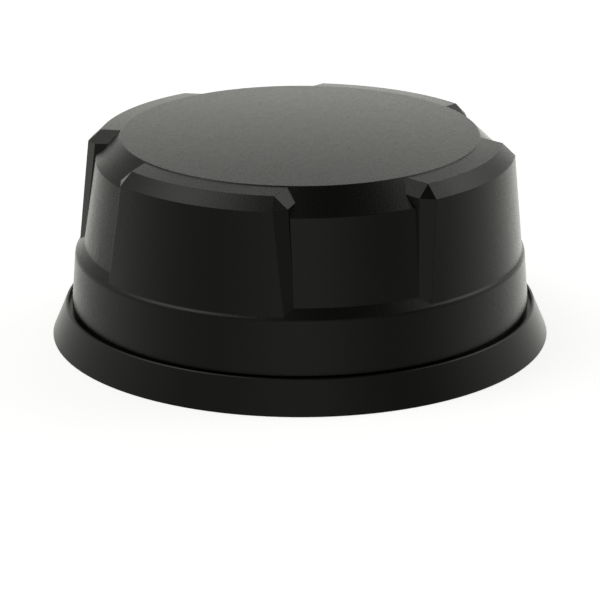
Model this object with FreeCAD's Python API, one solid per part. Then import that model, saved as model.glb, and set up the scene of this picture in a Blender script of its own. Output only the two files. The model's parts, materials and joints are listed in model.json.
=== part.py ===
"""GNSS receiver with a built-in antenna, for a survey pole or a machine mast.

A black radome with four raised blocks sits on a base casting with a flared rim.
The frame: millimetres, +Z up, origin on the vertical axis at the plane of the rim's foot.
Angles are in degrees from +X towards +Y.
"""
import math
import os

import FreeCAD
import Part

V = FreeCAD.Vector
Z_AXIS = V(0, 0, 1)
ORIGIN = V(0, 0, 0)

# ---- driving dimensions -------------------------------------------------------------

# flared rim and base casting
RIM_FOOT_R = 90.0
RIM_TOP_R = 85.2
RIM_TOP_Z = 12.0
RIM_LIP_R = 84.3
RIM_EDGE_ROUND = 0.3
RIM_INNER_FOOT_R = 84.5
RIM_INNER_TOP_R = 76.9
SLOT_FLOOR_R = 80.7
SLOT_FLOOR_Z = 10.2
SKIRT_Z = 12.2
CEILING_Z = 17.0
CEILING_R = 75.2
CEILING_SLOPE_H = 4.0
FLOOR_Z = 20.5
SPIGOT_R = 78.9
SPIGOT_INNER_R = 75.0
SPIGOT_TOP_Z = 25.0
SPIGOT_CHAMFER = 0.8

# radome outside
SKIRT_BOTTOM_R = 82.8
SKIRT_TOP_R = 81.3
SKIRT_TOP_Z = 31.15
WALL_BOTTOM_R = 77.9
WALL_BOTTOM_Z = 34.8
WALL_TOP_R = 73.2
WALL_TOP_Z = 65.1
CROWN_R = 64.3
CROWN_EDGE_Z = 73.75
CROWN_TOP_Z = 75.5
CROWN_EDGE_ROUND = 0.4
WALL_EDGE_ROUND = 0.4
SKIRT_EDGE_ROUND = 1.8
RADOME_WALL = 3.0
RADOME_BORE_R = 79.3

# angle at which the turned outsides close on themselves: at the back, behind a raised block
SEAM_ANGLE = 67.0

# raised blocks
BLOCK_ANGLES = (-120.0, -30.0, 60.0, 150.0)
LAND_STEP = 0.25
LAND_OUTER_R = 72.45
LAND_OUTER_Z = 72.6
BLOCK_TOP_R = 77.1
BLOCK_TOP_Z = 68.2
BLOCK_FOOT_R = 80.27
BLOCK_FOOT_Z = 32.2
LAND_HALF_WIDTH = 28.45
BLOCK_CORNER_IN = V(65.95, 33.3, 68.5)
BLOCK_TOP_HALF_WIDTH = 30.3
BLOCK_CORNER_FOOT = V(72.2, 35.1, 32.8)
BLOCK_END_TOP = V(61.0, 33.1, 69.05)
BLOCK_END_LOW = V(68.6, 37.2, 34.8)
BLOCK_EDGE_ROUND = 0.25
BLOCK_HIDDEN_R = 62.0
BLOCK_HIDDEN_Z = 31.2
POCKET_HALF_WIDTH = 24.0
POCKET_INNER_R = 60.0
POCKET_FOOT_R = 76.3
POCKET_FOOT_Z = 43.0
POCKET_TOP_R = 74.2
POCKET_TOP_Z = 66.0
POCKET_ROOF_R = 70.9
POCKET_ROOF_Z = 69.2

# O-ring
SEAL_GROOVE_R = 76.6
SEAL_GROOVE_LOW_Z = 17.4
SEAL_GROOVE_WIDTH = 3.0
SEAL_SECTION_R = 1.28

# radome screws
SCREW_COUNT = 8
SCREW_PHASE = 22.5
SCREW_CIRCLE_R = 70.5
SCREW_R = 1.95
SCREW_HEAD_R = 3.8
SCREW_HEAD_H = 2.2
SCREW_SINK = 1.2
SCREW_LENGTH = 14.0
SCREW_CLEARANCE = 0.05
RADOME_BOSS_R = 4.0
RADOME_BOSS_TOP_Z = 42.0

# mounting inserts
BOSS_FACE_Z = 1.5
CENTRE_BOSS_R = 20.0
POLE_THREAD_R = 6.8
POLE_THREAD_DEPTH = 14.0
POLE_INSERT_R = 10.0
POLE_FLANGE_R = 14.0
POLE_FLANGE_H = 1.5
POLE_INSERT_PROUD = 0.5
M5_CIRCLE_R = 30.0
M5_THREAD_R = 2.1
M5_INSERT_R = 3.5
M5_INSERT_LENGTH = 10.0
M5_BOSS_R = 6.0
M5_ANGLES = (45.0, 135.0, 225.0, 315.0)
INSERT_GAP = 0.05

# ribs under the ceiling
RIB_WIDTH = 2.6
RIB_DEPTH = 3.0
RIB_REACH_R = 77.0

# receptacles and dust caps
CONNECTOR_CIRCLE_R = 52.0
CONNECTOR_ANGLES = (112.5, 67.5)
THREAD_R = 5.95
THREAD_END_Z = 7.0
FLANGE_R = 9.0
FLANGE_LOW_Z = 13.8
FLANGE_TOP_Z = 16.0
REAR_R = 6.4
REAR_TOP_Z = 27.0
SHELL_BORE_R = 4.6
INSULATOR_LOW_Z = 10.5
PIN_R = 0.5
PIN_TIP_Z = 8.2
PIN_TOP_Z = 28.5
PIN_CIRCLE_R = 2.6
CONNECTOR_NUT_FLATS = 17.0
CONNECTOR_NUT_H = 3.0
CAP_R = 8.2
CAP_BORE_R = 6.25
CAP_LOW_Z = 5.0
CAP_TOP_Z = 13.3
CAP_END_WALL = 1.15
CAP_WASHER_H = 0.75
CAP_WASHER_R = 5.85
CAP_WASHER_BORE_R = 4.0
CAP_GRIPS = 18

# pressure vent and blank plate
VENT_ANGLE = 270.0
VENT_CIRCLE_R = 54.0
VENT_R = 4.9
VENT_HEAD_R = 7.0
VENT_HEAD_H = 2.5
VENT_TOP_Z = 23.0
PLATE_ANGLE = 202.5
PLATE_CIRCLE_R = 50.0
PLATE_SIZE = (14.0, 30.0, 0.6)

# receiver board
BOARD_R = 64.0
BOARD_Z = 30.5
BOARD_T = 1.6
BOARD_CHORD_Y = 40.0
STANDOFF_R = 57.0
STANDOFF_ANGLES = (35.0, 145.0, 215.0, 325.0)
STANDOFF_FLATS = 5.5
STANDOFF_PAD_R = 4.5
STANDOFF_PAD_Z = 22.5
STUD_R = 1.2
STUD_HOLE_R = 1.25
BOARD_HOLE_R = 1.7

# parts on the receiver board
GNSS_CHIP_SIZE = (11.0, 11.0, 1.2)
MEMORY_SIZE = (12.0, 8.0, 1.0)
IMU_SIZE = (9.0, 9.0, 2.2)
RADIO_SIZE = (22.0, 15.0, 2.6)
CAN_SIZE = (22.0, 15.0, 3.2)
WIRELESS_SIZE = (14.0, 1.0, 8.0)
COIL_SIZE = (7.0, 7.0, 3.6)
CAPACITOR_R = 2.6
CAPACITOR_H = 5.5
CELL_AT = V(26, -4, 0)
CELL_R = 10.0
CELL_H = 3.2
HOLDER_R = 11.6
HOLDER_FLOOR = 0.8
HOLDER_WALL_H = 2.2

# antenna stack
PLATE_Z = 50.0
PLATE_T = 2.0
PLATE_R = 62.0
LOWER_BLOCK_R = 46.0
LOWER_BLOCK_H = 6.0
LOWER_PATCH_R = 40.0
UPPER_BLOCK_R = 33.0
UPPER_BLOCK_H = 5.0
UPPER_PATCH_R = 28.0
PATCH_T = 0.3
FEED_CIRCLE_R = 14.0
FEED_R = 0.6
FEED_HOLE_R = 1.0
LNA_SIZE = (56.0, 44.0, 1.6)
LNA_CAN_SIZE = (40.0, 36.0, 4.0)
CAN_WALL = 0.4
COAX_TOP_X = 24.5
COAX_BOTTOM_X = 44.0
COAX_R = 0.9

BOARD_TOP = BOARD_Z + BOARD_T
PLATE_TOP = PLATE_Z + PLATE_T

# wiring from the receptacles to the board
HARNESS_R = 2.2
HARNESS_Z = BOARD_TOP + 5.0
HARNESS_BEND_R = 5.0
HEADER_Y = 31.0
HEADER_SIZE = (10.0, 6.0, 6.0)
PLUG_SIZE = (8.0, 3.0, 4.4)

# processor under the board, and the casting's pedestal that cools it
PROCESSOR_AT = V(0, -22, 0)
PROCESSOR_SIZE = (15.0, 15.0, 1.6)
PAD_H = 1.5
PEDESTAL_SIZE = (22.0, 22.0, BOARD_Z - PROCESSOR_SIZE[2] - PAD_H - FLOOR_Z + 1)


# ---- helpers ------------------------------------------------------------------------

def polar(radius, angle, z=0.0):
    """Point at a radius and an angle in degrees about the vertical axis."""
    a = math.radians(angle)
    return V(radius * math.cos(a), radius * math.sin(a), z)


def revolve(outline):
    """Solid of revolution about the vertical axis from a closed (radius, z) outline."""
    points = [V(r, 0, z) for r, z in outline]
    face = Part.Face(Part.makePolygon(points + points[:1]))
    return face.revolve(ORIGIN, Z_AXIS, 360)


def cylinder(radius, z_low, z_high, at=ORIGIN):
    return Part.makeCylinder(radius, z_high - z_low, V(at.x, at.y, z_low))


def ring(r_in, r_out, z_low, z_high, at=ORIGIN):
    return cylinder(r_out, z_low, z_high, at).cut(cylinder(r_in, z_low, z_high, at))


def box(size, centre, z_low):
    """Box of (x, y, height) centred on a point in plan, standing on z_low."""
    x, y, h = size
    return Part.makeBox(x, y, h, V(centre.x - x / 2, centre.y - y / 2, z_low))


def hexagon(flats, z_low, z_high, at=ORIGIN):
    """Hexagonal prism, measured across its flats."""
    corner = flats / math.sqrt(3)
    points = [polar(corner, 60 * i) + V(at.x, at.y, z_low) for i in range(7)]
    return Part.Face(Part.makePolygon(points)).extrude(V(0, 0, z_high - z_low))


def turned(shape, angle):
    """Copy of a shape, turned about the vertical axis."""
    copy = shape.copy()
    copy.rotate(ORIGIN, Z_AXIS, angle)
    return copy


def cut_all(shape, tools):
    for tool in tools:
        shape = shape.cut(tool)
    return shape


def fuse_all(shapes):
    whole = shapes[0].multiFuse(shapes[1:]) if len(shapes) > 1 else shapes[0]
    return whole.removeSplitter()


def keep_side(shape, a, b, c, inside):
    """Part of a shape on the same side of the plane through a, b and c as the point inside."""
    normal = (b - a).cross(c - a).normalize()
    if normal.dot(inside - a) > 0:
        normal = normal.negative()
    reach = 200.0
    waste = Part.makeBox(2 * reach, 2 * reach, reach, V(-reach, -reach, 0))
    waste.Placement = FreeCAD.Placement(a, FreeCAD.Rotation(Z_AXIS, normal)).multiply(waste.Placement)
    return shape.cut(waste)


def export(name, shape):
    """Write one node; several solids become one group."""
    if isinstance(shape, (list, tuple)):
        shape = Part.makeCompound(list(shape))
    if not shape.isValid() or not shape.Solids:
        raise RuntimeError(name + " is not a valid solid")
    shape.exportStep("parts/" + name + ".step")


# ---- radome -------------------------------------------------------------------------

def radome_outside():
    """Skirt, ledge, side wall, cone and crown as one turned solid with a domed top."""
    rise = CROWN_TOP_Z - CROWN_EDGE_Z
    dome_r = (CROWN_R ** 2 + rise ** 2) / (2 * rise)
    half_angle = math.asin(CROWN_R / dome_r) / 2
    corners = [V(SKIRT_BOTTOM_R, 0, SKIRT_Z), V(SKIRT_TOP_R, 0, SKIRT_TOP_Z),
               V(WALL_BOTTOM_R, 0, WALL_BOTTOM_Z), V(WALL_TOP_R, 0, WALL_TOP_Z), V(CROWN_R, 0, CROWN_EDGE_Z)]
    top = V(0, 0, CROWN_TOP_Z)
    foot = V(0, 0, SKIRT_Z)
    on_dome = V(dome_r * math.sin(half_angle), 0, CROWN_TOP_Z - dome_r * (1 - math.cos(half_angle)))
    edges = [Part.LineSegment(p, q).toShape() for p, q in zip(corners[:-1], corners[1:])]
    edges.append(Part.Arc(corners[-1], on_dome, top).toShape())
    edges.append(Part.LineSegment(top, foot).toShape())
    edges.append(Part.LineSegment(foot, corners[0]).toShape())
    solid = Part.Face(Part.Wire(edges)).revolve(ORIGIN, Z_AXIS, 360)
    rounds = ((CROWN_R, CROWN_EDGE_Z, CROWN_EDGE_ROUND), (WALL_TOP_R, WALL_TOP_Z, WALL_EDGE_ROUND),
              (SKIRT_TOP_R, SKIRT_TOP_Z, SKIRT_EDGE_ROUND))
    for radius, z, size in rounds:
        solid = solid.makeFillet(size, [e for e in solid.Edges if is_ring(e, radius, z)])
    return turned(solid, SEAM_ANGLE)


def is_ring(edge, radius, z):
    """True for a circular edge of this radius about the vertical axis at this height."""
    if edge.Degenerated or not isinstance(edge.Curve, Part.Circle):
        return False
    return abs(edge.Curve.Radius - radius) < 0.01 and abs(edge.Curve.Center.z - z) < 0.01


def radome_inside():
    """The hollow, offset inwards from the outside by the wall."""
    w = RADOME_WALL
    return revolve([(0, SKIRT_Z - 1), (RADOME_BORE_R, SKIRT_Z - 1), (RADOME_BORE_R, SPIGOT_TOP_Z),
                    (SKIRT_TOP_R - w, SKIRT_TOP_Z - 1.6), (WALL_BOTTOM_R - w, WALL_BOTTOM_Z - 1.2),
                    (WALL_TOP_R - w, WALL_TOP_Z - 1.4), (CROWN_R - 1.4, CROWN_EDGE_Z - w),
                    (CROWN_R / 2, CROWN_TOP_Z - w - 0.5), (0, CROWN_TOP_Z - w)])


def raised_block():
    """One raised block on the +X side, bounded by its chamfered, drafted and bevelled ends."""
    land_inner_z = CROWN_EDGE_Z - LAND_STEP
    slope = (LAND_OUTER_Z - land_inner_z) / (LAND_OUTER_R - CROWN_R)
    hidden_top_z = land_inner_z + slope * (BLOCK_HIDDEN_R - CROWN_R)
    outline = [(BLOCK_HIDDEN_R, BLOCK_HIDDEN_Z), (BLOCK_HIDDEN_R, hidden_top_z),
               (LAND_OUTER_R, LAND_OUTER_Z), (BLOCK_TOP_R, BLOCK_TOP_Z), (BLOCK_FOOT_R, BLOCK_FOOT_Z),
               (BLOCK_FOOT_R, BLOCK_HIDDEN_Z)]
    block = turned(revolve(outline), 180).common(Part.makeBox(100, 100, 100, V(40, -50, 0)))
    land_x = math.sqrt(LAND_OUTER_R ** 2 - LAND_HALF_WIDTH ** 2)
    inner_x = math.sqrt(CROWN_R ** 2 - LAND_HALF_WIDTH ** 2)
    land_corner = V(land_x, LAND_HALF_WIDTH, LAND_OUTER_Z)
    land_inner = V(inner_x, LAND_HALF_WIDTH, land_inner_z)
    corner_x = math.sqrt(BLOCK_TOP_R ** 2 - BLOCK_TOP_HALF_WIDTH ** 2)
    corner_out = V(corner_x, BLOCK_TOP_HALF_WIDTH, BLOCK_TOP_Z)
    heart = V(68, 0, 50)
    planes = [(land_corner, land_inner, BLOCK_CORNER_IN),
              (land_corner, corner_out, BLOCK_CORNER_IN),
              (BLOCK_CORNER_IN, corner_out, BLOCK_CORNER_FOOT),
              (BLOCK_CORNER_IN, BLOCK_END_TOP, BLOCK_END_LOW)]
    for plane in planes:
        for side in (1, -1):
            a, b, c = (V(p.x, side * p.y, p.z) for p in plane)
            block = keep_side(block, a, b, c, heart)
    return block.makeFillet(BLOCK_EDGE_ROUND, [e for e in block.Edges if is_block_edge(e)])


def is_block_edge(edge):
    """True for the outer edges of a block; the rest lie inside the radome's wall."""
    if edge.Degenerated:
        return False
    middle = edge.valueAt((edge.FirstParameter + edge.LastParameter) / 2)
    radius = math.hypot(middle.x, middle.y)
    return radius > CROWN_R and middle.z > WALL_BOTTOM_Z - 1 and (radius > 70.5 or middle.z > 66)


def block_pocket():
    """Coring behind one raised block, which keeps the moulding's wall even."""
    outline = [(POCKET_INNER_R, POCKET_FOOT_Z), (POCKET_FOOT_R, POCKET_FOOT_Z), (POCKET_TOP_R, POCKET_TOP_Z),
               (POCKET_ROOF_R, POCKET_ROOF_Z), (POCKET_INNER_R, POCKET_ROOF_Z + 0.8)]
    sector = Part.makeBox(50, 2 * POCKET_HALF_WIDTH, 60, V(50, -POCKET_HALF_WIDTH, 30))
    return turned(revolve(outline), 180).common(sector)


def radome_posts():
    """Screw posts inside the wall, each with a web, and the holes for their screws."""
    posts = []
    holes = []
    for i in range(SCREW_COUNT):
        angle = SCREW_PHASE + i * 360 / SCREW_COUNT
        at = polar(SCREW_CIRCLE_R, angle)
        posts.append(cylinder(RADOME_BOSS_R, FLOOR_Z, RADOME_BOSS_TOP_Z, at))
        web_z = SPIGOT_TOP_Z + 1
        web = Part.makeBox(8.0, 3.0, RADOME_BOSS_TOP_Z - web_z, V(SCREW_CIRCLE_R, -1.5, web_z))
        posts.append(turned(web, angle))
        holes.append(cylinder(SCREW_R + SCREW_CLEARANCE, FLOOR_Z - 1, CEILING_Z + SCREW_LENGTH + 3, at))
    return posts, holes


def make_radome():
    outside = radome_outside()
    block = raised_block()
    shell = fuse_all([outside] + [turned(block, a) for a in BLOCK_ANGLES])
    pocket = block_pocket()
    shell = cut_all(shell, [radome_inside()] + [turned(pocket, a) for a in BLOCK_ANGLES])
    posts, holes = radome_posts()
    bound = outside.common(cylinder(100, SKIRT_Z, 60))
    shell = fuse_all([shell] + [p.common(bound) for p in posts])
    shell = cut_all(shell, holes)
    export("radome", shell)


# ---- base ---------------------------------------------------------------------------

def base_outline():
    """Outline of the turned part of the base casting, with an open slot between rim and radome."""
    e = RIM_EDGE_ROUND
    return [(0, FLOOR_Z), (0, CEILING_Z), (CEILING_R, CEILING_Z),
            (RIM_INNER_TOP_R, CEILING_Z - CEILING_SLOPE_H), (RIM_INNER_FOOT_R, 0), (RIM_FOOT_R - e, 0),
            (RIM_FOOT_R - e * 0.3, e * 0.3), (RIM_FOOT_R, e), (RIM_TOP_R, RIM_TOP_Z - e),
            (RIM_TOP_R - e, RIM_TOP_Z), (RIM_LIP_R, RIM_TOP_Z), (RIM_LIP_R, SLOT_FLOOR_Z),
            (SLOT_FLOOR_R, SLOT_FLOOR_Z), (SLOT_FLOOR_R, SKIRT_Z), (SPIGOT_R, SKIRT_Z),
            (SPIGOT_R, SPIGOT_TOP_Z - SPIGOT_CHAMFER), (SPIGOT_R - SPIGOT_CHAMFER, SPIGOT_TOP_Z),
            (SPIGOT_INNER_R, SPIGOT_TOP_Z), (SPIGOT_INNER_R, FLOOR_Z)]


def base_ribs():
    """Eight radial ribs under the ceiling, from the centre boss to the rim."""
    rib = Part.makeBox(RIB_REACH_R, RIB_WIDTH, RIB_DEPTH, V(0, -RIB_WIDTH / 2, CEILING_Z - RIB_DEPTH))
    return [turned(rib, 45 * i) for i in range(8)]


def make_base():
    body = [turned(revolve(base_outline()), SEAM_ANGLE), cylinder(CENTRE_BOSS_R, BOSS_FACE_Z, CEILING_Z + 1),
            cylinder(POLE_FLANGE_R, FLOOR_Z - 1, FLOOR_Z + 2), box(PEDESTAL_SIZE, PROCESSOR_AT, FLOOR_Z - 1)]
    for angle in M5_ANGLES:
        body.append(cylinder(M5_BOSS_R, BOSS_FACE_Z, CEILING_Z + 1, polar(M5_CIRCLE_R, angle)))
    for angle in STANDOFF_ANGLES:
        body.append(cylinder(STANDOFF_PAD_R, FLOOR_Z - 1, STANDOFF_PAD_Z, polar(STANDOFF_R, angle)))
    shape = fuse_all(body + base_ribs())
    export("base_housing", cut_all(shape, insert_pockets() + floor_holes()))


def insert_pockets():
    """Pockets in the bosses, for the centre insert with its flange and for the four small inserts."""
    low = BOSS_FACE_Z - 1
    insert_top = BOSS_FACE_Z + POLE_THREAD_DEPTH + 1.5 + INSERT_GAP
    flange_top = BOSS_FACE_Z + POLE_FLANGE_H - POLE_INSERT_PROUD
    m5_top = BOSS_FACE_Z + M5_INSERT_LENGTH + INSERT_GAP
    pockets = [cylinder(POLE_INSERT_R + INSERT_GAP, low, insert_top),
               cylinder(POLE_FLANGE_R + INSERT_GAP, low, flange_top)]
    for angle in M5_ANGLES:
        pockets.append(cylinder(M5_INSERT_R + INSERT_GAP, low, m5_top, polar(M5_CIRCLE_R, angle)))
    return pockets


def floor_holes():
    """Seal groove, and the holes for studs, screws, receptacles and the vent."""
    holes = [ring(SEAL_GROOVE_R, SPIGOT_R + 1, SEAL_GROOVE_LOW_Z, SEAL_GROOVE_LOW_Z + SEAL_GROOVE_WIDTH)]
    for angle in STANDOFF_ANGLES:
        at = polar(STANDOFF_R, angle)
        holes.append(cylinder(STUD_HOLE_R, STANDOFF_PAD_Z - 4, STANDOFF_PAD_Z + 1, at))
    for i in range(SCREW_COUNT):
        at = polar(SCREW_CIRCLE_R, SCREW_PHASE + i * 360 / SCREW_COUNT)
        holes.append(cylinder(SCREW_R + 0.25, CEILING_Z - 1, FLOOR_Z + 1, at))
        holes.append(cylinder(SCREW_HEAD_R + 0.4, CEILING_Z - 5, CEILING_Z + SCREW_SINK, at))
    for angle in CONNECTOR_ANGLES:
        at = polar(CONNECTOR_CIRCLE_R, angle)
        holes.append(cylinder(REAR_R + 0.1, CEILING_Z - 1, FLOOR_Z + 1, at))
    at = polar(VENT_CIRCLE_R, VENT_ANGLE)
    holes.append(cylinder(VENT_R + 0.1, CEILING_Z - 1, FLOOR_Z + 1, at))
    holes.append(cylinder(VENT_HEAD_R + 1, CEILING_Z - RIB_DEPTH - 1, CEILING_Z, at))
    return holes


def make_seal():
    middle_r = SEAL_GROOVE_R + (RADOME_BORE_R - SEAL_GROOVE_R) / 2
    middle_z = SEAL_GROOVE_LOW_Z + SEAL_GROOVE_WIDTH / 2
    export("housing_seal", Part.makeTorus(middle_r, SEAL_SECTION_R, V(0, 0, middle_z)))


def make_radome_screws():
    screws = []
    for i in range(SCREW_COUNT):
        at = polar(SCREW_CIRCLE_R, SCREW_PHASE + i * 360 / SCREW_COUNT)
        seat = CEILING_Z + SCREW_SINK
        head = cylinder(SCREW_HEAD_R, seat - SCREW_HEAD_H, seat, at)
        rounded = [e for e in head.Edges if is_ring(e, SCREW_HEAD_R, seat - SCREW_HEAD_H)]
        head = head.makeFillet(1.0, rounded)
        shank = cylinder(SCREW_R, seat, CEILING_Z + SCREW_LENGTH, at)
        socket = hexagon(2.5, seat - SCREW_HEAD_H, seat - SCREW_HEAD_H + 1.4, at)
        screws.append(head.fuse(shank).cut(socket))
    export("radome_screws", screws)


# ---- mounting inserts ---------------------------------------------------------------

def make_pole_insert():
    low = BOSS_FACE_Z - POLE_INSERT_PROUD
    top = BOSS_FACE_Z + POLE_THREAD_DEPTH + 1.5
    shape = fuse_all([cylinder(POLE_FLANGE_R, low, low + POLE_FLANGE_H), cylinder(POLE_INSERT_R, low, top)])
    lead_in = Part.makeCone(POLE_THREAD_R + 1.2, POLE_THREAD_R, 1.2, V(0, 0, low))
    bore = cylinder(POLE_THREAD_R, low, low + POLE_THREAD_DEPTH)
    export("thread_insert", cut_all(shape, [bore, lead_in]))


def make_m5_inserts():
    inserts = []
    for angle in M5_ANGLES:
        at = polar(M5_CIRCLE_R, angle)
        inserts.append(ring(M5_THREAD_R, M5_INSERT_R, BOSS_FACE_Z, BOSS_FACE_Z + M5_INSERT_LENGTH, at))
    export("mount_inserts", inserts)


# ---- receptacles and dust caps ------------------------------------------------------

def make_connector_shell(name, at):
    front = cylinder(THREAD_R, THREAD_END_Z, FLANGE_LOW_Z + 1, at)
    tip = [e for e in front.Edges if is_ring(e, THREAD_R, THREAD_END_Z)]
    front = front.makeChamfer(0.5, tip)
    flange = cylinder(FLANGE_R, FLANGE_LOW_Z, FLANGE_TOP_Z, at)
    rear = cylinder(REAR_R, FLANGE_TOP_Z - 1, REAR_TOP_Z, at)
    shell = fuse_all([front, flange, rear])
    export(name + "_body", shell.cut(cylinder(SHELL_BORE_R, THREAD_END_Z - 1, REAR_TOP_Z + 1, at)))


def connector_pin_places(at):
    """The centre contact and the ring of contacts about it."""
    return [at] + [at + polar(PIN_CIRCLE_R, 36 + 72 * i) for i in range(5)]


def make_connector_core(name, at):
    insulator = cylinder(SHELL_BORE_R - 0.03, INSULATOR_LOW_Z, REAR_TOP_Z, at)
    places = connector_pin_places(at)
    holes = [cylinder(PIN_R + 0.02, INSULATOR_LOW_Z - 1, REAR_TOP_Z + 1, p) for p in places]
    export(name + "_insert", cut_all(insulator, holes))
    export(name + "_pins", [cylinder(PIN_R, PIN_TIP_Z, PIN_TOP_Z, p) for p in places])


def make_connector_ring_parts(name, at):
    export(name + "_seal", ring(REAR_R + 0.15, FLANGE_R - 0.6, FLANGE_TOP_Z, CEILING_Z, at))
    nut = hexagon(CONNECTOR_NUT_FLATS, FLOOR_Z, FLOOR_Z + CONNECTOR_NUT_H, at)
    export(name + "_nut", nut.cut(cylinder(REAR_R + 0.05, FLOOR_Z - 1, FLOOR_Z + 10, at)))


def make_dust_cap(number, at):
    """A screwed cap with grip grooves, and the loose washer that seals its end."""
    body = cylinder(CAP_R, CAP_LOW_Z, CAP_TOP_Z, at)
    foot = [e for e in body.Edges if is_ring(e, CAP_R, CAP_LOW_Z)]
    body = body.makeFillet(0.8, foot)
    grooves = []
    for i in range(CAP_GRIPS):
        place = at + polar(CAP_R + 0.35, i * 360 / CAP_GRIPS)
        grooves.append(cylinder(0.75, CAP_LOW_Z + 1.2, CAP_TOP_Z - 1.2, place))
    hollow = cylinder(CAP_BORE_R, CAP_LOW_Z + CAP_END_WALL, CAP_TOP_Z + 1, at)
    export(f"dust_cap_{number}", cut_all(body, grooves + [hollow]))
    washer_z = THREAD_END_Z - CAP_WASHER_H - 0.05
    washer = ring(CAP_WASHER_BORE_R, CAP_WASHER_R, washer_z, washer_z + CAP_WASHER_H, at)
    export(f"cap_seal_{number}", washer)


def make_connectors():
    for number, angle in enumerate(CONNECTOR_ANGLES, start=1):
        at = polar(CONNECTOR_CIRCLE_R, angle)
        name = f"connector_{number}"
        make_connector_shell(name, at)
        make_connector_core(name, at)
        make_connector_ring_parts(name, at)
        make_dust_cap(number, at)
        make_harness(number, at)
    make_board_plugs()


# ---- wiring inside ------------------------------------------------------------------

def swept_tube(points, radius, bend):
    """Round tube along straight runs joined by equal tangent arcs."""
    edges = []
    start = points[0]
    for i in range(1, len(points) - 1):
        before = (points[i] - points[i - 1]).normalize()
        after = (points[i + 1] - points[i]).normalize()
        turn = before.getAngle(after)
        back = bend * math.tan(turn / 2)
        p1 = points[i] - before * back
        p2 = points[i] + after * back
        inward = (after - before).normalize()
        centre = points[i] + inward * (bend / math.cos(turn / 2))
        middle = centre - inward * bend
        edges.append(Part.LineSegment(start, p1).toShape())
        edges.append(Part.Arc(p1, middle, p2).toShape())
        start = p2
    edges.append(Part.LineSegment(start, points[-1]).toShape())
    path = Part.Wire(edges)
    direction = (points[1] - points[0]).normalize()
    section = Part.Wire(Part.makeCircle(radius, points[0], direction))
    return path.makePipeShell([section], True, False)


def make_harness(number, at):
    """Wires from the back of a receptacle, up and over to the plug on the board."""
    start = V(at.x, at.y, PIN_TOP_Z)
    corner = V(at.x, at.y, HARNESS_Z)
    over = V(at.x, HEADER_Y + HEADER_SIZE[1] / 2 + PLUG_SIZE[1], HARNESS_Z)
    export(f"harness_{number}", swept_tube([start, corner, over], HARNESS_R, HARNESS_BEND_R))


def make_board_plugs():
    headers = []
    plugs = []
    for angle in CONNECTOR_ANGLES:
        x = polar(CONNECTOR_CIRCLE_R, angle).x
        headers.append(box(HEADER_SIZE, V(x, HEADER_Y, 0), BOARD_TOP))
        plug_y = HEADER_Y + HEADER_SIZE[1] / 2 + PLUG_SIZE[1] / 2
        plugs.append(box(PLUG_SIZE, V(x, plug_y, 0), HARNESS_Z - PLUG_SIZE[2] / 2))
    export("board_headers", headers)
    export("harness_plugs", plugs)


# ---- vent and plate -----------------------------------------------------------------

def make_vent():
    at = polar(VENT_CIRCLE_R, VENT_ANGLE)
    head = cylinder(VENT_HEAD_R, CEILING_Z - VENT_HEAD_H, CEILING_Z, at)
    stem = cylinder(VENT_R, CEILING_Z - 0.5, VENT_TOP_Z, at)
    body = fuse_all([head, stem])
    slots = [Part.makeBox(20, 1.6, 1.0, V(-10, -0.8, CEILING_Z - VENT_HEAD_H)) for _ in range(2)]
    slots[1] = turned(slots[1], 90)
    for slot in slots:
        slot.translate(at)
    passage = cylinder(2.2, CEILING_Z - VENT_HEAD_H - 1, VENT_TOP_Z + 1, at)
    seat = cylinder(3.5, VENT_TOP_Z - 0.5, VENT_TOP_Z + 1, at)
    export("vent_body", cut_all(body, slots + [passage, seat]))
    export("vent_membrane", cylinder(3.4, VENT_TOP_Z - 0.5, VENT_TOP_Z - 0.1, at))


def make_plate():
    """A blank plate stuck to the ceiling under the base."""
    plate = box(PLATE_SIZE, V(PLATE_CIRCLE_R, 0, 0), CEILING_Z - PLATE_SIZE[2])
    corners = [e for e in plate.Edges if abs(e.tangentAt(e.FirstParameter).z) > 0.99]
    export("rating_plate", turned(plate.makeFillet(1.5, corners), PLATE_ANGLE))


# ---- receiver board -----------------------------------------------------------------

def make_board():
    disc = cylinder(BOARD_R, BOARD_Z, BOARD_TOP)
    beyond = Part.makeBox(200, 100, 10, V(-100, BOARD_CHORD_Y, BOARD_Z - 5))
    holes = [cylinder(BOARD_HOLE_R, BOARD_Z - 1, BOARD_TOP + 1, polar(STANDOFF_R, angle))
             for angle in STANDOFF_ANGLES]
    export("receiver_board", cut_all(disc, [beyond] + holes))


def make_standoffs():
    """Hexagonal pillars: a lower row under the board, and an upper row that carries the antenna plate."""
    lower = []
    upper = []
    screws = []
    for angle in STANDOFF_ANGLES:
        at = polar(STANDOFF_R, angle)
        low = hexagon(STANDOFF_FLATS, STANDOFF_PAD_Z, BOARD_Z, at)
        low = low.fuse(cylinder(STUD_R, STANDOFF_PAD_Z - 3.5, STANDOFF_PAD_Z, at))
        lower.append(low.cut(cylinder(STUD_HOLE_R, BOARD_Z - 6, BOARD_Z + 1, at)))
        high = hexagon(STANDOFF_FLATS, BOARD_TOP, PLATE_Z, at)
        high = high.fuse(cylinder(STUD_R, BOARD_Z - 5, BOARD_TOP, at))
        upper.append(high.cut(cylinder(STUD_HOLE_R, PLATE_Z - 7, PLATE_Z + 1, at)))
        head = cylinder(2.8, PLATE_TOP, PLATE_TOP + 2.0, at)
        shank = cylinder(STUD_R, PLATE_Z - 6, PLATE_TOP, at)
        socket = hexagon(2.0, PLATE_TOP + 0.9, PLATE_TOP + 3, at)
        screws.append(head.fuse(shank).cut(socket))
    export("lower_standoffs", lower)
    export("upper_standoffs", upper)
    export("antenna_screws", screws)


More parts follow.
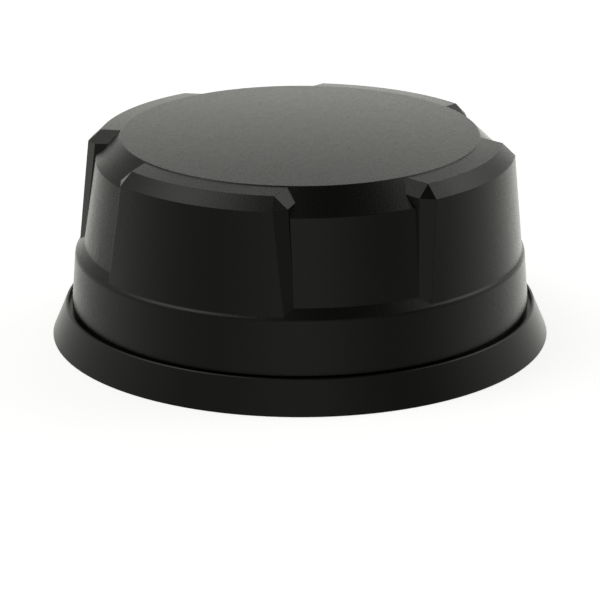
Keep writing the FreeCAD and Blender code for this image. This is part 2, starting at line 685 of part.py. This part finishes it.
def make_board_parts():
    """Parts soldered to the receiver board, each standing on its top or hanging from its underside."""
    export("processor", box(PROCESSOR_SIZE, PROCESSOR_AT, BOARD_Z - PROCESSOR_SIZE[2]))
    export("thermal_pad", box((18.0, 18.0, PAD_H), PROCESSOR_AT, BOARD_Z - PROCESSOR_SIZE[2] - PAD_H))
    export("gnss_chips", [box(GNSS_CHIP_SIZE, V(x, -8, 0), BOARD_TOP) for x in (-14, 2)])
    export("memory_chips", [box(MEMORY_SIZE, V(x, -26, 0), BOARD_TOP) for x in (-10, 8)])
    export("imu_module", box(IMU_SIZE, V(0, 12, 0), BOARD_TOP))
    export("radio_module", box(RADIO_SIZE, V(-36, -18, 0), BOARD_TOP))
    cans = []
    x_size, y_size, height = CAN_SIZE
    for x, y in ((-36, 6), (0, 30), (26, -30)):
        can = box(CAN_SIZE, V(x, y, 0), BOARD_TOP)
        inner = box((x_size - 2 * CAN_WALL, y_size - 2 * CAN_WALL, height - CAN_WALL), V(x, y, 0), BOARD_TOP)
        cans.append(can.cut(inner))
    export("shield_cans", cans)
    export("wireless_antenna", box(WIRELESS_SIZE, V(-12, -54, 0), BOARD_TOP))
    cell_z = BOARD_TOP + HOLDER_FLOOR
    holder = ring(CELL_R + 0.2, HOLDER_R, cell_z, cell_z + HOLDER_WALL_H, CELL_AT)
    floor = cylinder(HOLDER_R, BOARD_TOP, cell_z, CELL_AT)
    export("cell_holder", fuse_all([holder, floor]))
    export("backup_cell", cylinder(CELL_R, cell_z, cell_z + CELL_H, CELL_AT))
    export("power_coils", [box(COIL_SIZE, V(x, y, 0), BOARD_TOP) for x, y in ((34, 22), (43, 12))])
    cap_top = BOARD_TOP + CAPACITOR_H
    capacitors = [cylinder(CAPACITOR_R, BOARD_TOP, cap_top, V(x, 12, 0)) for x in (14, 21, 28)]
    export("board_capacitors", capacitors)


# ---- antenna ------------------------------------------------------------------------

def feed_places():
    return [polar(FEED_CIRCLE_R, 45 + 90 * i) for i in range(4)]


def make_antenna_plate():
    plate = cylinder(PLATE_R, PLATE_Z, PLATE_TOP)
    holes = [cylinder(1.5, PLATE_Z - 1, PLATE_TOP + 1, polar(STANDOFF_R, a)) for a in STANDOFF_ANGLES]
    holes += [cylinder(FEED_HOLE_R, PLATE_Z - 1, PLATE_TOP + 1, p) for p in feed_places()]
    holes.append(cylinder(2.0, PLATE_Z - 1, PLATE_TOP + 1))
    export("antenna_plate", cut_all(plate, holes))


def make_patches():
    """Two round patches, each a metal disc on its block, the smaller one on top."""
    z = PLATE_TOP
    layers = (("lower_patch_block", LOWER_BLOCK_R, LOWER_BLOCK_H),
              ("lower_patch_plate", LOWER_PATCH_R, PATCH_T),
              ("upper_patch_block", UPPER_BLOCK_R, UPPER_BLOCK_H),
              ("upper_patch_plate", UPPER_PATCH_R, PATCH_T))
    for name, radius, height in layers:
        holes = [cylinder(FEED_R + 0.05, z - 1, z + height + 1, p) for p in feed_places()]
        holes.append(cylinder(2.0, z - 1, z + height + 1))
        export(name, cut_all(cylinder(radius, z, z + height), holes))
        z += height
    export("feed_pins", [cylinder(FEED_R, PLATE_Z - 1.0, z + 0.4, p) for p in feed_places()])
    head = cylinder(4.0, z, z + 2.0)
    shank = cylinder(1.95, PLATE_Z, z)
    slot = Part.makeBox(9, 1.2, 1.0, V(-4.5, -0.6, z + 1.0))
    export("patch_screw", fuse_all([head, shank]).cut(slot))


def make_lna():
    """Amplifier board under the antenna plate, its can, and the coaxial lead to the receiver board."""
    board = box(LNA_SIZE, ORIGIN, PLATE_Z - LNA_SIZE[2])
    holes = [cylinder(FEED_R + 0.05, PLATE_Z - 3, PLATE_Z + 1, p) for p in feed_places()]
    export("lna_board", cut_all(board, holes))
    under = PLATE_Z - LNA_SIZE[2]
    can = box(LNA_CAN_SIZE, ORIGIN, under - LNA_CAN_SIZE[2])
    x, y, h = LNA_CAN_SIZE
    inner = box((x - 2 * CAN_WALL, y - 2 * CAN_WALL, h - CAN_WALL), ORIGIN, under - h + CAN_WALL)
    export("lna_shield", can.cut(inner))

    top_at = V(COAX_TOP_X, 0, 0)
    low_at = V(COAX_BOTTOM_X, 0, 0)
    socket_h = 1.6
    plug_h = 1.8
    export("coax_sockets", [cylinder(1.6, under - socket_h, under, top_at),
                            cylinder(1.6, BOARD_TOP, BOARD_TOP + socket_h, low_at)])
    export("coax_plugs", [cylinder(2.2, under - socket_h - plug_h, under - socket_h, top_at),
                          cylinder(2.2, BOARD_TOP + socket_h, BOARD_TOP + socket_h + plug_h, low_at)])
    z_top = under - socket_h - plug_h
    z_low = BOARD_TOP + socket_h + plug_h
    route = [V(COAX_TOP_X, 0, z_top), V(COAX_TOP_X, 0, z_top - 3.0),
             V(COAX_BOTTOM_X, 0, z_low + 3.0), V(COAX_BOTTOM_X, 0, z_low)]
    export("coax_jumper", swept_tube(route, COAX_R, 3.0))


def main():
    os.makedirs("parts", exist_ok=True)
    make_radome()
    make_base()
    make_seal()
    make_radome_screws()
    make_pole_insert()
    make_m5_inserts()
    make_connectors()
    make_vent()
    make_plate()
    make_board()
    make_standoffs()
    make_board_parts()
    make_antenna_plate()
    make_patches()
    make_lna()


main()
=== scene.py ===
"""Visual model of a black GNSS receiver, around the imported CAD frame.

Metres, +Z up, origin on the vertical axis at the plane of the rim's foot, as in the CAD.
"""
import json
import math

import bmesh
import bpy
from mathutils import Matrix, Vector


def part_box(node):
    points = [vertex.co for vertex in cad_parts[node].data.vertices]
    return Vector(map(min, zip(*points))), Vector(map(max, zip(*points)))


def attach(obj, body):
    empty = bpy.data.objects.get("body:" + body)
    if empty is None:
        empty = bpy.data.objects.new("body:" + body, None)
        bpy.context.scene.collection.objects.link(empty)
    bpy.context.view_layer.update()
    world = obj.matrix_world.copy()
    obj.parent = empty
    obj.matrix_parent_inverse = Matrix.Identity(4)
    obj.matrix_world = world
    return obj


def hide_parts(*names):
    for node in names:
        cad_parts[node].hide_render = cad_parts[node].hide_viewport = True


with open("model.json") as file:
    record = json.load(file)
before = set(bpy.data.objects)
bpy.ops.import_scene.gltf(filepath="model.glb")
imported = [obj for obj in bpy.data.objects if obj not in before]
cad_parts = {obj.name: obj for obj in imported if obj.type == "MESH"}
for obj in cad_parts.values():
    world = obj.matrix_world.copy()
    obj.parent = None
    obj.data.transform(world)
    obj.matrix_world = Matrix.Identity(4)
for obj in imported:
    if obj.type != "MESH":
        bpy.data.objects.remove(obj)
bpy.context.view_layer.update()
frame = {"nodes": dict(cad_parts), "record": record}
scene = bpy.context.scene
scene.view_settings.view_transform = "Standard"
MM = 0.001

# ---- camera -------------------------------------------------------------------------

ELEVATION = math.radians(19.4)
DISTANCE = 1.08
LOOK_Z = 0.0104
camera = bpy.data.objects.new("camera", bpy.data.cameras.new("camera"))
camera.data.sensor_width = 36
camera.data.lens = 177.6
camera.location = (0, -DISTANCE * math.cos(ELEVATION), LOOK_Z + DISTANCE * math.sin(ELEVATION))
camera.rotation_euler = (math.pi / 2 - ELEVATION, 0, 0)
scene.collection.objects.link(camera)
scene.camera = camera


# ---- node helpers -------------------------------------------------------------------

class Graph:
    """Short calls that add shader nodes and link them."""

    def __init__(self, tree):
        self.tree = tree
        tree.nodes.clear()

    def add(self, kind, inputs=None, **settings):
        node = self.tree.nodes.new("ShaderNode" + kind)
        for key, value in settings.items():
            setattr(node, key, value)
        for key, value in (inputs or {}).items():
            if isinstance(value, bpy.types.NodeSocket):
                self.tree.links.new(value, node.inputs[key])
            else:
                node.inputs[key].default_value = value
        return node

    def math(self, operation, *values):
        return self.add("Math", dict(enumerate(values)), operation=operation).outputs[0]

    def ramp(self, value, low, high, to_low=0.0, to_high=1.0, smooth=True):
        kind = "SMOOTHSTEP" if smooth else "LINEAR"
        return self.add("MapRange", {"Value": value, "From Min": low, "From Max": high, "To Min": to_low,
                                     "To Max": to_high}, interpolation_type=kind).outputs[0]


# ---- world, floor -------------------------------------------------------------------

LIGHT_COLOUR = (1, 1, 0.95, 1)
SOFTBOXES = (
    # azimuth from -Y towards +X, elevation, spread in degrees, radiance
    (174, -16, 26, 1.6),   # the lit sweep behind
    (-106, -10, 34, 0.4),   # the lit floor at the left
    (104, -6, 28, 0.4),   # the lit floor at the right
    (0, -20, 36, 0.2),   # the lit floor in front
    (0, 14, 22, 0.24),   # dim card at the camera
    (-90, 54, 14, 1.45),   # large softbox, left
    (114, 40, 12, 1.45),   # smaller softbox, right and behind
)


def make_world():
    """Softboxes as soft round patches of light, far away, behind a plain white backdrop."""
    world = bpy.data.worlds.new("studio")
    world.use_nodes = True
    scene.world = world
    g = Graph(world.node_tree)
    direction = g.add("TexCoord").outputs["Generated"]
    unit = g.add("VectorMath", {0: direction}, operation="NORMALIZE").outputs[0]
    total = 0.0
    for azimuth, elevation, spread, radiance in SOFTBOXES:
        turn, rise = math.radians(azimuth), math.radians(elevation)
        axis = (math.sin(turn) * math.cos(rise), -math.cos(turn) * math.cos(rise), math.sin(rise))
        dot = g.add("VectorMath", {0: unit, 1: axis}, operation="DOT_PRODUCT").outputs["Value"]
        sharp = 1 / math.radians(spread) ** 2
        level = g.math("EXPONENT", g.math("MULTIPLY_ADD", dot, sharp, -sharp))
        total = g.math("MULTIPLY_ADD", level, radiance, total)
    light = g.add("Background", {"Color": LIGHT_COLOUR, "Strength": total})
    backdrop = g.add("Background", {"Color": (1, 1, 1, 1), "Strength": 1.0})
    seen = g.add("LightPath").outputs["Is Camera Ray"]
    mix = g.add("MixShader", {0: seen, 1: light.outputs[0], 2: backdrop.outputs[0]})
    out = g.add("OutputWorld")
    g.tree.links.new(mix.outputs[0], out.inputs[0])


FLOOR_HALF_WIDTH = 3.0
FLOOR_GLOW = 0.75


def make_floor():
    """White floor that lights up a little by itself, and can't be seen from below."""
    h = FLOOR_HALF_WIDTH
    mesh = bpy.data.meshes.new("floor")
    mesh.from_pydata([(-h, -h, 0), (h, -h, 0), (h, h, 0), (-h, h, 0)], [], [(0, 1, 2, 3)])
    floor = bpy.data.objects.new("floor", mesh)
    scene.collection.objects.link(floor)
    material = bpy.data.materials.new("floor")
    material.use_nodes = True
    g = Graph(material.node_tree)
    surface = g.add("BsdfPrincipled", {"Base Color": (0.85, 0.85, 0.85, 1), "Roughness": 0.9,
                                       "Emission Color": (1, 1, 1, 1), "Emission Strength": FLOOR_GLOW})
    back = g.add("NewGeometry").outputs["Backfacing"]
    mix = g.add("MixShader", {0: back, 1: surface.outputs[0], 2: g.add("BsdfTransparent").outputs[0]})
    out = g.add("OutputMaterial")
    g.tree.links.new(mix.outputs[0], out.inputs[0])
    mesh.materials.append(material)
    floor.visible_glossy = False
    floor.visible_diffuse = False


make_world()
make_floor()


# ---- materials ----------------------------------------------------------------------

def finish(name, colour, roughness, metallic=0.0, grain=2200.0, depth=0.00001, mottle=0.0, stretch=(1, 1, 1)):
    """Solid colour with a fine grain in relief and tone; mottle varies its gloss over a few millimetres."""
    material = bpy.data.materials.new(name)
    material.use_nodes = True
    g = Graph(material.node_tree)
    place = g.add("TexCoord").outputs["Object"]
    along = g.add("Mapping", {"Vector": place, "Scale": stretch}).outputs[0]
    fine = g.add("TexNoise", {"Vector": along, "Scale": grain, "Detail": 3.0,
                              "Roughness": 0.6}).outputs["Fac"]
    broad = g.add("TexNoise", {"Vector": place, "Scale": 300.0, "Detail": 3.0}).outputs["Fac"]
    level = g.math("MULTIPLY_ADD", broad, mottle, roughness - mottle / 2)
    level = g.math("MULTIPLY_ADD", fine, 0.06, g.math("SUBTRACT", level, 0.03))
    dark = tuple(c * 0.8 for c in colour[:3]) + (1,)
    lit = tuple(min(1, c * 1.2) for c in colour[:3]) + (1,)
    tint = g.add("MixRGB", {"Fac": fine, "Color1": dark, "Color2": lit}).outputs[0]
    bump = g.add("Bump", {"Height": fine, "Distance": depth, "Strength": 1.0}).outputs[0]
    bsdf = g.add("BsdfPrincipled", {"Base Color": tint, "Roughness": level, "Metallic": metallic,
                                    "Normal": bump})
    out = g.add("OutputMaterial")
    g.tree.links.new(bsdf.outputs[0], out.inputs[0])
    return material


def circuit_board(name, colour):
    """Solder mask over a fine grid of tracks and small bare pads."""
    material = bpy.data.materials.new(name)
    material.use_nodes = True
    g = Graph(material.node_tree)
    place = g.add("TexCoord").outputs["Object"]
    tracks = g.add("TexBrick", {"Vector": place, "Scale": 420.0, "Mortar Size": 0.06, "Brick Width": 1.7,
                                "Row Height": 0.35}).outputs["Fac"]
    pads = g.add("TexVoronoi", {"Vector": place, "Scale": 260.0}, distance="CHEBYCHEV").outputs["Distance"]
    bare = g.ramp(pads, 0.10, 0.08, smooth=False)
    mask = tuple(colour[:3]) + (1,)
    over = tuple(min(1, c * 1.7) for c in colour[:3]) + (1,)
    tint = g.add("MixRGB", {"Fac": tracks, "Color1": mask, "Color2": over}).outputs[0]
    tint = g.add("MixRGB", {"Fac": bare, "Color1": tint, "Color2": (0.8, 0.62, 0.3, 1)}).outputs[0]
    bump = g.add("Bump", {"Height": tracks, "Distance": 0.00003, "Strength": 1.0}).outputs[0]
    bsdf = g.add("BsdfPrincipled", {"Base Color": tint, "Roughness": 0.35, "Metallic": bare, "Normal": bump})
    out = g.add("OutputMaterial")
    g.tree.links.new(bsdf.outputs[0], out.inputs[0])
    return material


SLOTS = {row["slot"]: tuple(row["base_color"]) for row in frame["record"]["materials"]}
SHELL = (0.0035, 0.0034, 0.0028)
FINISH = {
    "radome": finish("radome", SHELL, 0.27, depth=0.00006, mottle=0.02),
    "base_coating": finish("base_coating", SHELL, 0.32, grain=1800, depth=0.000012),
    "seal_rubber": finish("seal_rubber", SLOTS["seal_rubber"], 0.55, grain=4000, mottle=0.1),
    "stainless": finish("stainless", SLOTS["stainless"], 0.28, 1.0, grain=900, mottle=0.12,
                        stretch=(1, 1, 9)),
    "brass": finish("brass", SLOTS["brass"], 0.26, 1.0, grain=900, mottle=0.12, stretch=(1, 1, 9)),
    "receptacle_metal": finish("receptacle_metal", SLOTS["receptacle_metal"], 0.3, 1.0, grain=900,
                               mottle=0.1, stretch=(1, 1, 9)),
    "insulator": finish("insulator", SLOTS["insulator"], 0.4, grain=5000, mottle=0.08),
    "cap_metal": finish("cap_metal", SLOTS["cap_metal"], 0.36, 0.6, grain=3500, mottle=0.1),
    "wire_sleeve": finish("wire_sleeve", SLOTS["wire_sleeve"], 0.5, grain=5000, mottle=0.1),
    "vent_plastic": finish("vent_plastic", SLOTS["vent_plastic"], 0.42, grain=5000, mottle=0.08),
    "membrane": finish("membrane", SLOTS["membrane"], 0.8, grain=9000, depth=0.00003),
    "plate_metal": finish("plate_metal", SLOTS["plate_metal"], 0.3, 1.0, grain=1200, mottle=0.1,
                          stretch=(1, 14, 1)),
    "circuit_board": circuit_board("circuit_board", SLOTS["circuit_board"]),
    "chip_black": finish("chip_black", SLOTS["chip_black"], 0.5, grain=7000, mottle=0.1),
    "module_can": finish("module_can", SLOTS["module_can"], 0.32, 1.0, grain=1200, mottle=0.1,
                         stretch=(12, 1, 1)),
    "thermal_pad": finish("thermal_pad", SLOTS["thermal_pad"], 0.8, grain=5000, mottle=0.1),
    "antenna_aluminium": finish("antenna_aluminium", SLOTS["antenna_aluminium"], 0.34, 1.0, grain=1200,
                                mottle=0.1, stretch=(14, 1, 1)),
    "patch_dielectric": finish("patch_dielectric", SLOTS["patch_dielectric"], 0.6, grain=6000, mottle=0.1),
    "patch_copper": finish("patch_copper", SLOTS["patch_copper"], 0.28, 1.0, grain=1200, mottle=0.1),
}


def dress():
    """Every CAD node gets the finish of its slot."""
    for part in frame["record"]["subparts"]:
        node = frame["nodes"][part["node"]]
        node.data.materials.clear()
        node.data.materials.append(FINISH[part["material_slot"]])


# ---- turned pieces with threads and grips -------------------------------------------

def groove(phase):
    """0 on a thread's crest and 1 at its root, with a short flat at each."""
    return min(1.0, max(0.0, (abs(phase % 1.0 - 0.5) * 2 - 0.1) / 0.8))


def lathe(rows, at=(0, 0), steps=96, pitch=None, ridges=0):
    """Closed turned surface about a vertical axis, in millimetres, as (vertices, faces).

    A row is (radius, z) or (radius, z, root): between radius and root runs a right-hand thread of this
    pitch, or that number of upright ridges. Rows run from axis to axis, or make a closed loop."""
    verts = []
    rings = []
    for row in rows:
        radius, z = row[:2]
        root = row[2] if len(row) > 2 else radius
        count = steps if radius else 1
        rings.append([len(verts) + i for i in range(count)])
        for i in range(count):
            turn = i / steps
            if ridges:
                share = 0.5 - 0.5 * math.cos(math.tau * turn * ridges)
            else:
                share = groove(z / pitch - turn) if pitch else 0
            r = radius + (root - radius) * share
            verts.append((at[0] + r * math.cos(math.tau * turn), at[1] + r * math.sin(math.tau * turn), z))
    faces = []
    pairs = list(zip(rings, rings[1:]))
    if len(rings[0]) > 1:
        pairs.append((rings[-1], rings[0]))
    for low, high in pairs:
        for i in range(steps):
            j = (i + 1) % steps
            if len(low) == 1:
                faces.append((low[0], high[j], high[i]))
            elif len(high) == 1:
                faces.append((low[i], low[j], high[0]))
            else:
                faces.append((low[i], low[j], high[j], high[i]))
    return verts, faces


def piece(name, surfaces, slot, body, *nodes):
    """One object from several (vertices, faces) surfaces, which stands for these CAD nodes."""
    mesh = bpy.data.meshes.new(name)
    verts = []
    faces = []
    for points, polygons in surfaces:
        start = len(verts)
        verts += [(x * MM, y * MM, z * MM) for x, y, z in points]
        faces += [tuple(start + i for i in polygon) for polygon in polygons]
    mesh.from_pydata(verts, [], faces)
    work = bmesh.new()
    work.from_mesh(mesh)
    bmesh.ops.recalc_face_normals(work, faces=work.faces)
    work.to_mesh(mesh)
    work.free()
    mesh.polygons.foreach_set("use_smooth", [True] * len(mesh.polygons))
    mesh.set_sharp_from_angle(angle=math.radians(38))
    mesh.materials.append(FINISH[slot])
    thing = bpy.data.objects.new(name, mesh)
    scene.collection.objects.link(thing)
    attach(thing, body)
    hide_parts(*nodes)
    return thing


def thread(z_from, z_to, crest, root, pitch, fade_start=True, fade_end=True, per_turn=8):
    """Rows of a thread from one height to the other; it fades in and out over most of a turn."""
    count = max(2, round(abs(z_to - z_from) / pitch * per_turn))
    rows = []
    for i in range(count + 1):
        z = z_from + (z_to - z_from) * i / count
        depth = 1.0
        if fade_start:
            depth = min(depth, abs(z - z_from) / (0.8 * pitch))
        if fade_end:
            depth = min(depth, abs(z - z_to) / (0.8 * pitch))
        rows.append((crest, z, crest + (root - crest) * depth))
    return rows


def middle(node):
    """Centre of a CAD node in plan, with its lowest and highest z, in millimetres."""
    low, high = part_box(node)
    return ((low[0] + high[0]) / 2 / MM, (low[1] + high[1]) / 2 / MM), low[2] / MM, high[2] / MM


# each thread's radius at its crest and at its root, and its pitch, in millimetres
POLE_CREST, POLE_ROOT, POLE_PITCH = 6.8, 7.94, 2.309
BOLT_CREST, BOLT_ROOT, BOLT_PITCH = 2.1, 2.5, 0.8
BOLT_CIRCLE_R = 30.0
PORT_CREST, PORT_ROOT, PORT_PITCH = 5.95, 5.34, 1.0


def make_pole_insert():
    at, low, high = middle("thread_insert")
    rows = [(0, high), (9.6, high), (10, high - 0.4), (10, low + 1.5), (13.8, low + 1.5), (14, low + 1.3),
            (14, low + 0.3), (13.7, low), (8.15, low), (7.98, low + 0.15, 8.0)]
    rows += [(7.4, low + 0.7, 7.96)] + thread(low + 1.2, low + 13.9, POLE_CREST, POLE_ROOT, POLE_PITCH, False)
    rows += [(POLE_CREST, low + 14), (0, low + 14)]
    piece("pole_insert", [lathe(rows, at, 96, POLE_PITCH)], "stainless", "receiver", "thread_insert")


def make_bolt_inserts():
    (x, y), low, high = middle("mount_inserts")
    reach = BOLT_CIRCLE_R * math.sqrt(0.5)
    rows = [(3.5, high), (3.5, low + 0.15), (3.35, low), (2.65, low), (2.5, low + 0.15, 2.52)]
    rows += thread(low + 0.5, high - 0.1, BOLT_CREST, BOLT_ROOT, BOLT_PITCH, False) + [(BOLT_CREST, high)]
    surfaces = [lathe(rows, (x + i * reach, y + j * reach), 40, BOLT_PITCH) for i in (1, -1) for j in (1, -1)]
    piece("bolt_inserts", surfaces, "brass", "receiver", "mount_inserts")


def make_port(number):
    """Receptacle shell with its thread, and the dust cap with its ridged grip."""
    node = f"connector_{number}_body"
    at, low, high = middle(node)
    rows = [(4.6, high), (4.6, low + 0.3), (4.9, low), (5.5, low), (5.9, low + 0.4, 5.85)]
    rows += thread(low + 0.6, low + 5.8, PORT_CREST, PORT_ROOT, PORT_PITCH, False)
    rows += [(5.5, low + 6.0), (5.5, low + 6.8), (8.7, low + 6.8), (9, low + 7.1), (9, low + 8.7),
             (8.7, low + 9), (6.4, low + 9), (6.4, high - 0.3), (6.1, high)]
    piece(f"receptacle_{number}", [lathe(rows, at, 96, PORT_PITCH)], "receptacle_metal", "receiver", node)

    node = f"dust_cap_{number}"
    at, low, high = middle(node)
    rows = [(0, low + 0.3), (4.8, low + 0.3), (5.3, low), (7.2, low), (7.7, low + 0.15), (8.05, low + 0.5),
            (8.2, low + 0.95), (8.2, low + 1.2), (8.2, low + 1.5, 7.85), (8.2, high - 1.5, 7.85),
            (8.2, high - 1.2), (8.2, high - 0.4), (7.95, high), (6.5, high), (6.25, high - 0.25),
            (6.25, low + 1.15), (0, low + 1.15)]
    piece(f"ridged_cap_{number}", [lathe(rows, at, 216, ridges=36)], "cap_metal", f"cap_{number}", node)


dress()
make_pole_insert()
make_bolt_inserts()
for port in (1, 2):
    make_port(port)
